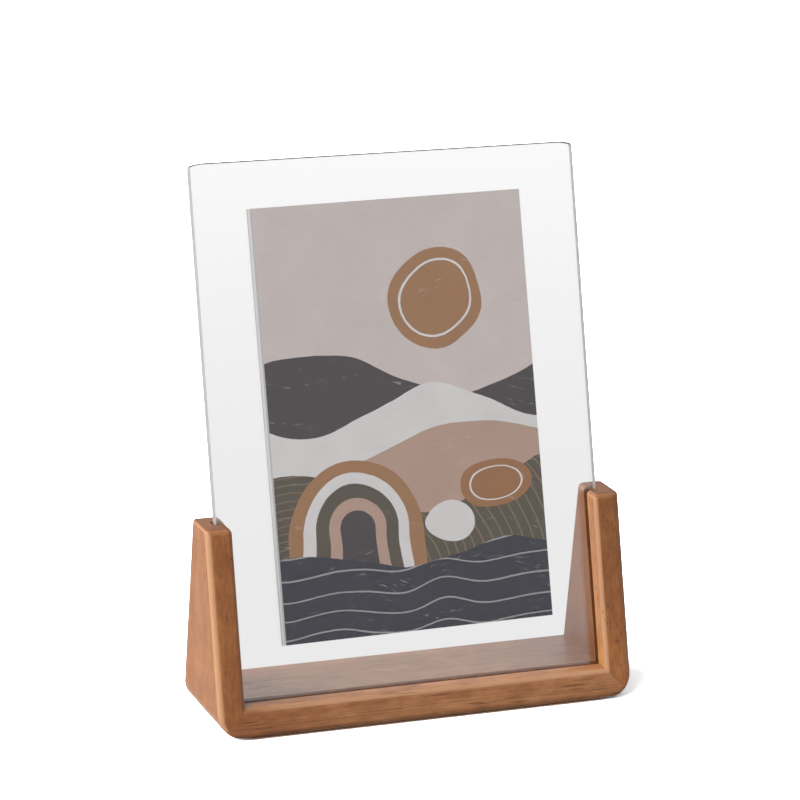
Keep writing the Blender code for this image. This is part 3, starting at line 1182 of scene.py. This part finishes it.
    def make_board(self, name: str, side: int) -> bpy.types.Object:
        """Cut one board out of the U and round what the cuts left sharp.

        Args:
            name: The board's name.
            side: 0 for the rail, -1 and 1 for the left and right uprights.

        Returns:
            The board.
        """
        blank = self.blank(name)
        cutters = {"DIFFERENCE": self.groove_cutter(), "INTERSECT": self.region_cutter(side)}
        for operation, cutter in cutters.items():
            cut = blank.modifiers.new(cutter.name, "BOOLEAN")
            cut.operation = operation
            cut.object = cutter
        mesh = evaluated_mesh(blank)
        for cutter in cutters.values():
            bpy.data.objects.remove(cutter, do_unlink=True)
        self.mark_arrises(mesh)
        rounded = add_object(name, mesh)
        self.add_bevel(rounded, self.arris_rounding, self.arris_segments)
        mesh = evaluated_mesh(rounded)
        smooth(mesh)
        board = add_object(name, mesh)
        board.modifiers.new("even_shading", "WEIGHTED_NORMAL").keep_sharp = True
        return board

    def build(self) -> None:
        """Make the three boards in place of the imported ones."""
        boards = (("rail_board", 0, "base_rail"), ("left_board", -1, "left_upright"),
                  ("right_board", 1, "right_upright"))
        for name, side, node in boards:
            self.add(self.make_board(name, side), "stand", "stand_wood", node)

    def in_groove(self, face: bpy.types.MeshPolygon, to_plane: Matrix) -> bool:
        """Tell whether a face is a wall or the floor of the groove.

        Args:
            face: A face of a board.
            to_plane: The matrix from the world to the plane of the sheets.

        Returns:
            True if it is.
        """
        middle = to_plane @ face.center
        normal = to_plane.to_3x3() @ face.normal
        inside = abs(middle.x) < self.inner + self.groove_depth + self.seat_clearance
        inside = inside and abs(middle.y) < self.groove_width / 2 + self.mitre_gap
        return inside and max(abs(share) for share in normal) > FLAT_SHARE

    def board_finishes(self) -> tuple[WoodFinish, ...]:
        """Choose each board's own stretch of wood.

        Returns:
            The finishes of the rail and of the left and right uprights.
        """
        middle = self.plane.middle
        groove = (middle.y - middle.z * math.tan(self.plane.lean)) * MILLIMETRES
        upright = {"light": paint(164, 106, 61), "dark": paint(139, 84, 45), "up_edge_highlight": 0.2,
                   "pore_spread": (0.56, 0.66), "groove": groove}
        # painted light and shade on the left upright's faces that look left
        left_side_light = (0.92, 0.93, 0.87)
        return (
            WoodFinish("rail_wood", GrainRun.ALONG_X, offset=(13.0, 4.0, 57.0), tone=0.98,
                       light=paint(186, 129, 87), middle=paint(169, 113, 72), dark=paint(142, 88, 51),
                       worn_and_lit=paint(189, 144, 110), wear_highlight_range=(-73.0, -46.0), groove=groove,
                       pore_length=20.0, pore_width=0.85, pore_spread=(0.45, 0.57),
                       front_drift=Drift((0.76, 0.66, 0.56), -70.0, -14.0),
                       # painted shade behind the sheets, darkest at the right-hand corner, and painted
                       # light on the left end
                       inner_light_and_shade=(Drift((0.56, 0.50, 0.45), 62.0, 16.0, (0.80, 0.77, 0.71)),
                                     Drift((1.50, 1.25, 1.05), -66.0, -42.0))),
            WoodFinish("left_wood", GrainRun.ALONG_Z, offset=(190.0, 31.0, 8.0), tone=1.02,
                       side_light_tint=left_side_light, fore_light_drift=Drift(left_side_light, rest=left_side_light), **upright),
            WoodFinish("right_wood", GrainRun.ALONG_Z, offset=(47.0, 75.0, 300.0), tone=0.90,
                       side_light_tint=(0.88, 0.85, 0.76), **upright,
                       # painted light on the right upright's inner strip in front of the groove
                       fore_light_drift=Drift((1.60, 1.92, 1.76), 8.0, 40.0, (1.48, 1.58, 1.34)),
                       front_drift=Drift((1.32, 1.34, 1.36), 14.0, 46.0),
                       # painted shade behind the sheets, darkest near the foot
                       inner_light_and_shade=(Drift((0.70, 0.62, 0.54), 10.0, 30.0, (0.95, 0.92, 0.84)),)),
        )

    def dress(self) -> None:
        """Give the boards their wood, with a darker wood in the groove as painted shade, and the dowels a
        pale wood.
        """
        # painted shade: darker wood on the groove's walls and floor
        groove_shade = WoodFinish("groove_painted_shade", GrainRun.ALONG_Z, tone=0.95, light=paint(160, 98, 54),
                          middle=paint(144, 84, 44), dark=paint(122, 68, 34), worn_and_lit=paint(128, 76, 40))
        beech = WoodFinish("dowel_beech", GrainRun.ALONG_X, light=paint(226, 196, 156),
                           middle=paint(212, 178, 138), dark=paint(196, 158, 118), pore=paint(150, 112, 78),
                           worn_and_lit=paint(230, 204, 168))
        groove_shade_material, pale_wood = groove_shade.material(), beech.material()
        to_plane = self.plane.place().inverted()
        for piece, finish in zip(self.pieces, self.board_finishes()):
            piece.data.materials.clear()
            piece.data.materials.append(finish.material())
            piece.data.materials.append(groove_shade_material)
            for face in piece.data.polygons:
                face.material_index = int(self.in_groove(face, to_plane))
        for node, item in frame["nodes"].items():
            if "dowel" in node:
                item.material_slots[0].material = pale_wood


@dataclass
class FeltPads(Assembly):
    """Four round felt pads under the rail's corners, set out as copies on points."""

    sides: int = 48
    rings: int = 3
    rim_share: float = 0.9
    rim_jitter: float = 0.00006
    seed: int = 4
    nodes: tuple[str, ...] = ("front_left_pad", "front_right_pad", "rear_left_pad", "rear_right_pad")

    def tree(self) -> ShapeTree:
        """Lay out the tree that puts a pad with an uneven rim on each point.

        Returns:
            The tree.
        """
        tree = ShapeTree("felt_pads", "Radius", "Thickness", "Rim Jitter")
        radius = tree.length("Radius")
        disc = {"Vertices": self.sides, "Side Segments": self.rings, "Fill Segments": self.rings,
                "Radius": radius, "Depth": tree.length("Thickness")}
        pad = tree.out("GeometryNodeMeshCylinder", disc)
        span = {0: (-1.0, -1.0, 0.0), 1: (1.0, 1.0, 0.0), "Seed": self.seed}
        shake = tree.out("FunctionNodeRandomValue", span, data_type="FLOAT_VECTOR")
        far = tree.out("GeometryNodeInputPosition").length()
        rim = tree.maths("GREATER_THAN", far, radius * self.rim_share)
        offset = {0: shake, "Scale": rim * tree.length("Rim Jitter")}
        step = tree.out("ShaderNodeVectorMath", offset, operation="SCALE")
        rough = tree.out("GeometryNodeSetPosition", {"Geometry": pad, "Offset": step})
        points = {"Points": tree.given["Geometry"], "Instance": rough}
        copies = tree.out("GeometryNodeInstanceOnPoints", points)
        real = tree.out("GeometryNodeRealizeInstances", {0: copies})
        felt = {"Geometry": real, "Material": PAD_FELT.material()}
        tree.finish(tree.out("GeometryNodeSetMaterial", felt))
        return tree

    def build(self) -> None:
        """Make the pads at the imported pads' middles."""
        boxes = [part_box(node) for node in self.nodes]
        mesh = bpy.data.meshes.new("felt_pads")
        mesh.from_pydata([tuple((low + high) / 2) for low, high in boxes], [], [])
        size = boxes[0][1] - boxes[0][0]
        radius = size.x / 2 - self.rim_jitter
        lengths = {"Radius": radius, "Thickness": size.z, "Rim Jitter": self.rim_jitter}
        pads = self.tree().run(add_object("felt_pads", mesh), lengths)
        self.add(add_object("felt_pads", pads), "stand", "pad_felt", *self.nodes)

    def dress(self) -> None:
        """Shade the rims smooth. The tree has already set the felt."""
        for piece in self.pieces:
            smooth(piece.data)


@dataclass
class GlassPack(Assembly):
    """The front and rear glass sheets, with eased corners and ground edges."""

    plane: LeaningPlane
    height: float = 0.1905
    thickness: float = 0.0015
    ease_radius: float = 0.016
    top_turn: float = 18.0
    side_turn: float = 8.0
    tip_radius: float = 0.0006
    edge_bulge: float = 0.0004
    face_share: float = 0.99
    ease_steps: int = 8
    tip_steps: int = 10
    edge_steps: int = 9

    def corner(self) -> list[Vector]:
        """Draw the top right corner from its sharp point: a small arc between two wide ones.

        Returns:
            The corner's points.
        """
        wide = self.ease_radius - self.edge_bulge
        small = self.tip_radius - self.edge_bulge
        top_turn, side_turn = math.radians(self.top_turn), math.radians(self.side_turn)
        step = wide - small
        inset = wide - step * math.cos(side_turn)
        drop = wide - step * math.cos(top_turn)
        centre = (-inset - step * math.sin(top_turn), -wide)
        top = arc(centre, wide, 90, 90 - self.top_turn, self.ease_steps)
        tip = arc((-inset, -drop), small, 90 - self.top_turn, self.side_turn, self.tip_steps)
        side = arc((-wide, -drop - step * math.sin(side_turn)), wide, self.side_turn, 0, self.ease_steps)
        return top[:-1] + tip[:-1] + side

    def outline(self, width: float) -> list[Vector]:
        """Draw the outline where the ground edge begins.

        Args:
            width: The sheet's width.

        Returns:
            The points, counter-clockwise round the sheet's middle.
        """
        half = Vector((width / 2 - self.edge_bulge, self.height / 2 - self.edge_bulge))
        quarter = [half + point for point in self.corner()]
        right = quarter + [Vector((point.x, -point.y)) for point in reversed(quarter)]
        return (right + [Vector((-point.x, point.y)) for point in reversed(right)])[::-1]

    def tree(self) -> ShapeTree:
        """Lay out the tree that turns an outline into a sheet.

        Returns:
            The tree.
        """
        polished, ground = [GlassFinish(surface).material() for surface in GlassSurface]
        tree = ShapeTree("glass_sheet", "Thickness", "Edge Bulge")
        half, minus = [tree.length("Thickness") * share for share in (0.5, -0.5)]
        curve = tree.out("GeometryNodeMeshToCurve", {"Mesh": tree.given["Geometry"]})
        upright = tree.out("GeometryNodeSetCurveNormal", {"Curve": curve}, mode="Z_UP")
        bulge = tree.vector(tree.length("Edge Bulge"), 0.0, 0.0)
        ends = {"Resolution": self.edge_steps, "Start": tree.vector(0.0, minus, 0.0),
                "Middle": bulge, "End": tree.vector(0.0, half, 0.0)}
        profile = tree.out("GeometryNodeCurveArc", ends, mode="POINTS")
        rim = tree.out("GeometryNodeCurveToMesh", {"Curve": upright, "Profile Curve": profile})
        pane = tree.out("GeometryNodeFillCurve", {"Curve": curve}, mode="NGONS")
        joined = tree.node("GeometryNodeJoinGeometry", {0: rim})
        for rise in (half, minus):
            lift = {"Geometry": pane, "Translation": tree.vector(0.0, 0.0, rise)}
            tree.feed(joined.inputs[0], tree.out("GeometryNodeTransform", lift))
        merge = {"Geometry": joined.outputs[0], "Distance": WELD_DISTANCE}
        welded = tree.out("GeometryNodeMergeByDistance", merge)
        real = tree.out("GeometryNodeRealizeInstances", {"Geometry": welded})
        facing = abs(tree.out("GeometryNodeInputNormal").parts()[2])
        edge = tree.maths("LESS_THAN", facing, self.face_share)
        dressed = tree.out("GeometryNodeSetMaterial", {"Geometry": real, "Material": polished})
        dressed = {"Geometry": dressed, "Selection": edge, "Material": ground}
        tree.finish(tree.out("GeometryNodeSetMaterial", dressed))
        return tree

    def make_sheet(self, name: str, node: str, tree: ShapeTree) -> bpy.types.Object:
        """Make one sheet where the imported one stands.

        Args:
            name: The sheet's name.
            node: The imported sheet's node.
            tree: The tree that makes a sheet of an outline.

        Returns:
            The sheet.
        """
        low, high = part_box(node)
        points = self.outline(high.x - low.x)
        edges = [(number, (number + 1) % len(points)) for number in range(len(points))]
        mesh = bpy.data.meshes.new(name)
        mesh.from_pydata([(*point, 0.0) for point in points], edges, [])
        lengths = {"Thickness": self.thickness, "Edge Bulge": self.edge_bulge}
        mesh = tree.run(add_object(name, mesh), lengths)
        with edited(mesh) as work:
            bmesh.ops.recalc_face_normals(work, faces=work.faces)
        stood_up = Matrix.Rotation(math.radians(90), 4, "X")
        mesh.transform(Matrix.Translation((low + high) / 2) @ self.plane.turn() @ stood_up)
        smooth(mesh)
        return add_object(name, mesh)

    def build(self) -> None:
        """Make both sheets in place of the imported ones."""
        tree = self.tree()
        for name, node in (("front_sheet", "front_glass"), ("rear_sheet", "rear_glass")):
            self.add(self.make_sheet(name, node, tree), node, "clear_glass", node)

    def dress(self) -> None:
        """Report the sheets' materials, which the tree has already set."""
        for piece in self.pieces:
            LOG.info("%s is dressed in %s", piece.name, ", ".join(m.name for m in piece.data.materials))


@dataclass
class PrintSheet(Assembly):
    """The paper print that lies between the sheets, turned a little in their plane."""

    plane: LeaningPlane
    width: float = 0.1016
    height: float = 0.1524
    thickness: float = 0.00025
    tilt: float = math.radians(0.5)

    def build(self) -> None:
        """Make the paper with its picture's own map from corner to corner."""
        across, up = self.width / 2, self.height / 2
        mesh = prism("paper_print", rectangle(across, -up, up), self.thickness)
        paper = mesh.uv_layers.new(name="paper")
        for loop in mesh.loops:
            corner = mesh.vertices[loop.vertex_index].co
            paper.data[loop.index].uv = (corner.x / self.width + 0.5, corner.z / self.height + 0.5)
        for finish in (PAPER_BACK, PrintFinish()):
            mesh.materials.append(finish.material())
        for face in mesh.polygons:
            face.material_index = int(face.normal.y < -FLAT_SHARE)
        low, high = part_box("print")
        tilted = self.plane.turn() @ Matrix.Rotation(-self.tilt, 4, "Y")
        mesh.transform(Matrix.Translation((low + high) / 2) @ tilted)
        self.add(add_object("paper_print", mesh), "print", "print_paper", "print")

    def dress(self) -> None:
        """Keep the paper's faces flat."""
        for piece in self.pieces:
            piece.data.shade_flat()


@dataclass
class Studio:
    """A pale floor, soft light from the left and the camera of the photograph."""

    azimuth: float = math.radians(19.924)
    elevation: float = math.radians(15.19)
    roll: float = math.radians(0.585)
    distance: float = 1.29785
    target: Triple = (-0.004291, -0.005567, 0.110692)
    lens: float = 167.64
    sensor: float = 36.0
    clip_end: float = 50.0
    floor_size: float = 12.0
    floor_drop: float = 0.0001
    floor_shown: Colour = (2.62, 2.72, 2.76)
    floor_bounce: float = 0.42
    floor_mirrored: float = 0.5
    painted_bounce_tint: Colour = (0.66, 0.40, 0.28)
    painted_bounce_ease: Pair = (0.003, 0.0012)
    stand_corner: float = 0.0084
    floor_through: Pair = (0.86, 1.02)
    painted_shade_reach: Pair = (0.05, 1.2)
    key_direction: Triple = (-0.80, 0.0, 0.58)
    key_strength: float = 5.15
    key_spread: float = math.radians(80.0)
    ambient: float = 0.24
    overhead: float = 0.27
    front_share: float = 0.95
    front_span: Pair = (-0.7, 0.2)
    mirrored_front: Pair = (0.22, 0.46)
    mirrored_rise: Pair = (0.08, 0.28)
    mirrored_back: float = 1.1
    mirrored_span: Pair = (-0.4, 0.4)

    def add_camera(self) -> None:
        """Place the camera and make it the scene's."""
        sine, cosine = math.sin(self.azimuth), math.cos(self.azimuth)
        level = math.cos(self.elevation)
        back = Vector((-sine * level, -cosine * level, math.sin(self.elevation)))
        right = Vector((cosine, -sine, 0.0))
        up = back.cross(right)
        turned_right = right * math.cos(self.roll) + up * math.sin(self.roll)
        turned_up = up * math.cos(self.roll) - right * math.sin(self.roll)
        data = bpy.data.cameras.new("camera")
        data.lens, data.sensor_width, data.clip_end = self.lens, self.sensor, self.clip_end
        camera = add_object("camera", data)
        turn = Matrix((turned_right, turned_up, back)).transposed().to_4x4()
        camera.matrix_world = Matrix.Translation(Vector(self.target) + back * self.distance) @ turn
        bpy.context.scene.camera = camera

    def under_stand(self, place: Value) -> Value:
        """Find the floor under the stand, where a brown is painted for the little light there that comes
        off the wood.

        Args:
            place: The place on the floor.

        Returns:
            1 under the stand and 0 beside it.
        """
        low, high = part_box("base_rail")
        sides, front = self.painted_bounce_ease
        middle, half = (low + high) / 2, (high - low) / 2
        x, y = [abs(length - centre) for length, centre in zip(place.parts()[:2], middle)]
        flat = half.x - self.stand_corner
        return x.ease(flat + sides, flat - sides) * y.ease(half.y, half.y - front)

    def add_floor(self) -> None:
        """Lay the floor, which shows as white where no shadow falls, with a painted brown light under the
        stand. Seen through the glass it glows, dimmer near the stand as a painted shade.
        """
        mesh = bpy.data.meshes.new("floor")
        with edited(mesh) as work:
            bmesh.ops.create_grid(work, x_segments=1, y_segments=1, size=self.floor_size / 2)
        mesh.transform(Matrix.Translation((0.0, 0.0, -self.floor_drop)))
        material = bpy.data.materials.new("floor_white")
        material.use_nodes = True
        graph = Graph(material.node_tree)
        path = graph.node("ShaderNodeLightPath").outputs
        place = graph.place()
        # painted light: the floor under the stand is tinted brown as if lit by the wood
        painted_bounce_floor = [shown * tint for shown, tint in zip(self.floor_shown, self.painted_bounce_tint)]
        shown = graph.blend(self.under_stand(place), self.floor_shown, painted_bounce_floor)
        level = graph.blend(path["Is Camera Ray"], grey(self.floor_bounce), shown)
        level = graph.blend(path["Is Glossy Ray"], level, grey(self.floor_mirrored))
        diffuse = graph.out("ShaderNodeBsdfDiffuse", {"Color": level})
        # painted shade: the glow seen through the glass dims near the stand
        through = place.length().ease(*self.painted_shade_reach, *self.floor_through)
        glow = graph.out("ShaderNodeEmission", {"Strength": through})
        graph.surface(graph.mix(path["Is Transmission Ray"], diffuse, glow))
        mesh.materials.append(material)
        floor = add_object("floor", mesh)

    def add_world(self) -> None:
        """Light the room mostly from above. Reflections show a dim front wall and a bright rear one."""
        world = bpy.data.worlds.new("studio")
        world.use_nodes = True
        bpy.context.scene.world = world
        graph = Graph(world.node_tree)
        path = graph.node("ShaderNodeLightPath").outputs
        _, behind, up = graph.out("ShaderNodeTexCoord", output="Generated").parts()
        room = graph.maths("MAXIMUM", up, 0.0) * self.overhead + self.ambient
        room = room * behind.ease(*self.front_span, self.front_share, 1.0)
        front = up.ease(*self.mirrored_rise, *self.mirrored_front)
        mirrored = behind.ease(*self.mirrored_span, front, self.mirrored_back)
        level = graph.blend(path["Is Glossy Ray"], room, mirrored)
        for ray in ("Is Transmission Ray", "Is Camera Ray"):
            level = graph.blend(path[ray], level, WHITE)
        background = graph.out("ShaderNodeBackground", {"Color": level})
        graph.node("ShaderNodeOutputWorld", {"Surface": background})

    def add_key(self) -> None:
        """Add the wide, soft key light."""
        data = bpy.data.lights.new("key", "SUN")
        data.energy = self.key_strength
        data.angle = self.key_spread
        key = add_object("key", data)
        key.rotation_euler = Vector(self.key_direction).to_track_quat("Z", "Y").to_euler()

    def build(self) -> None:
        """Set up the whole studio."""
        self.add_camera()
        self.add_floor()
        self.add_world()
        self.add_key()
        bpy.context.scene.view_settings.view_transform = "Standard"


def main() -> None:
    """Build and dress the frame piece by piece."""
    logging.basicConfig(level=logging.INFO, format="%(message)s")
    Studio().build()
    plane = LeaningPlane.from_frame()
    for assembly in (Stand(plane), FeltPads(), GlassPack(plane), PrintSheet(plane)):
        assembly.build()
        assembly.dress()


if __name__ == "__main__":
    main()
